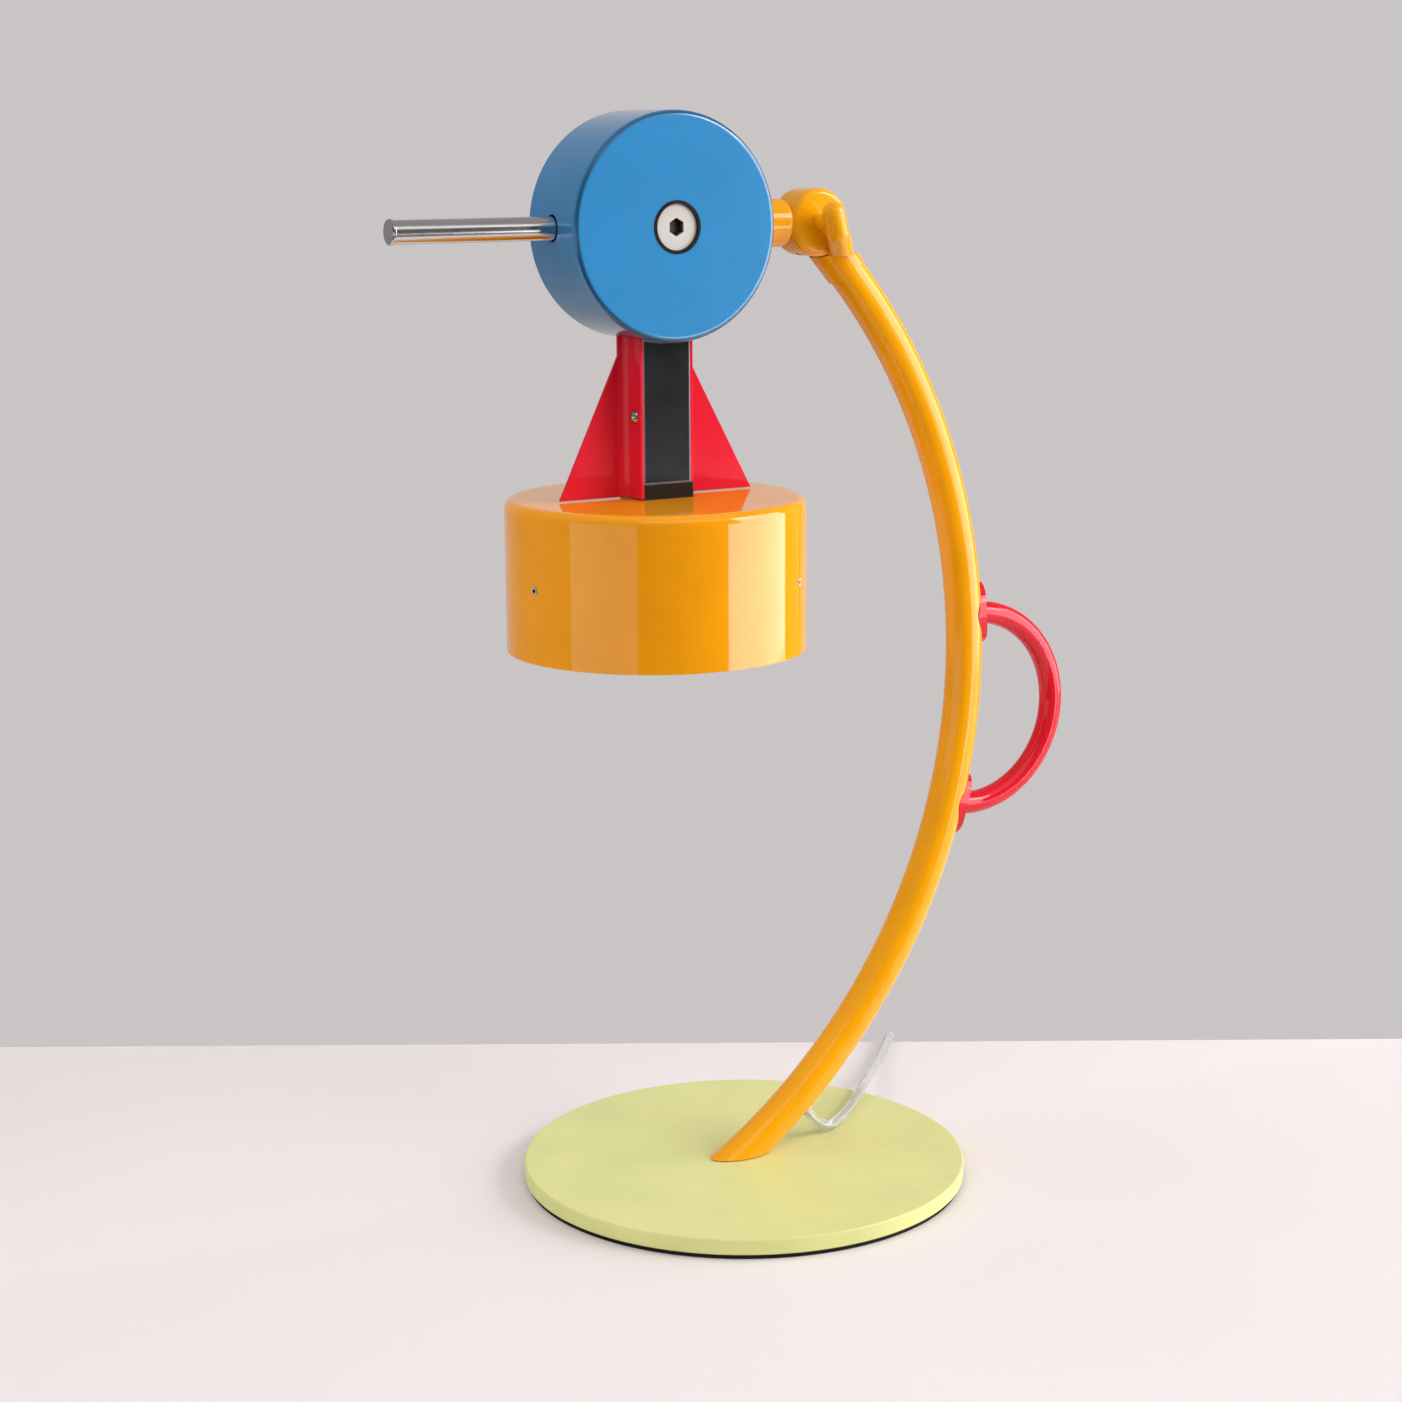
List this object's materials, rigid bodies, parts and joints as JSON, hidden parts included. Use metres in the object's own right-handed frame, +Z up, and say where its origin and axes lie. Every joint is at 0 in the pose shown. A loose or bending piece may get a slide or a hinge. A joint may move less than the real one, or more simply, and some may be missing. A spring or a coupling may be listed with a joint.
{
  "type": "table lamp",
  "caption": "Table lamp with a round base, a bent tube arm, a carrying handle and a tilting head: a drum with a beak-like switch rod above an open round shade.",
  "frame": {"origin": "middle of the base's underside, on the table", "axes": "+Z up; the beak points to -X, the handle to +X, the eye looks to -Y"},
  "size_m": [0.4948, 0.3779, 0.5707],
  "materials": {
    "green_paint": "satin pale green paint",
    "yellow_paint": "glossy orange-yellow paint",
    "blue_paint": "satin blue paint",
    "red_paint": "glossy red paint",
    "black_paint": "black coated light metal",
    "cream_paint": "pale enamel",
    "steel": "plain steel",
    "dark_steel": "blackened steel",
    "chrome": "bright nickel or chrome plate",
    "brass": "bright metal pins",
    "aluminium": "spun, soft sheen",
    "black_rubber": "matte black rubber",
    "core": "wound core, varnished",
    "white_plastic": "pale ceramic or plastic",
    "dark_plastic": "black plastic",
    "clear_cord": "clear sheath over two wires",
    "clear_plug": "clear moulded plug",
    "bulb_glass": "clear glass"
  },
  "bodies": {
    "stand": {"base_disc": "green_paint", "base_pad": "black_rubber", "arm_tube": "yellow_paint", "foot_plug": "steel", "foot_bolt": "steel", "foot_dowel": "steel", "cord_gland": "black_rubber", "arm_lead": "dark_plastic", "arm_fork": "yellow_paint", "friction_washer_front": "white_plastic", "friction_washer_rear": "white_plastic", "pivot_bolt": "steel", "handle_rod": "red_paint", "saddle_upper": "red_paint", "saddle_lower": "red_paint", "handle_screw_upper": "dark_steel", "handle_screw_lower": "dark_steel", "cord_lead": "clear_cord", "cord_coil": "clear_cord", "coil_tie": "dark_plastic", "plug_body": "clear_plug", "plug_pin_left": "brass", "plug_pin_right": "brass"},
    "head": {"knuckle": "yellow_paint", "shade_shell": "yellow_paint", "drum_shell": "blue_paint", "drum_cover": "blue_paint", "fin_left": "red_paint", "fin_right": "red_paint", "post": "black_paint", "post_foot": "black_paint", "eye_bolt": "cream_paint", "stub_nut": "steel", "cover_nut": "steel", "clamp_plate": "steel", "eye_nut": "steel", "post_clamp": "steel", "post_bolt_left": "steel", "post_bolt_right": "steel", "shade_bolt_front": "steel", "shade_bolt_rear": "steel", "grub_screw_left": "dark_steel", "grub_screw_front": "dark_steel", "grub_screw_rear": "dark_steel", "fin_screw_left": "chrome", "fin_screw_right": "chrome", "reflector": "aluminium", "eye_ring": "black_rubber", "pad_front": "black_rubber", "pad_rear": "black_rubber", "transformer": "core", "lampholder": "white_plastic", "switch_body": "dark_plastic", "switch_carrier": "dark_plastic", "lamp_lead": "dark_plastic", "bulb": "bulb_glass"},
    "beak": {"beak_rod": "chrome", "beak_cap": "chrome", "switch_spindle": "steel"}
  },
  "joints": [
    {"name": "head_tilt", "type": "hinge", "parent": "stand", "child": "head", "pos_m": [0.04098, 0, 0.51371], "axis": [0, 1, 0], "range_deg": [-20, 45]},
    {"name": "beak_turn", "type": "hinge", "parent": "head", "child": "beak", "pos_m": [-0.11, 0, 0.51371], "axis": [-1, 0, 0], "range_deg": [0, 270]}
  ]
}
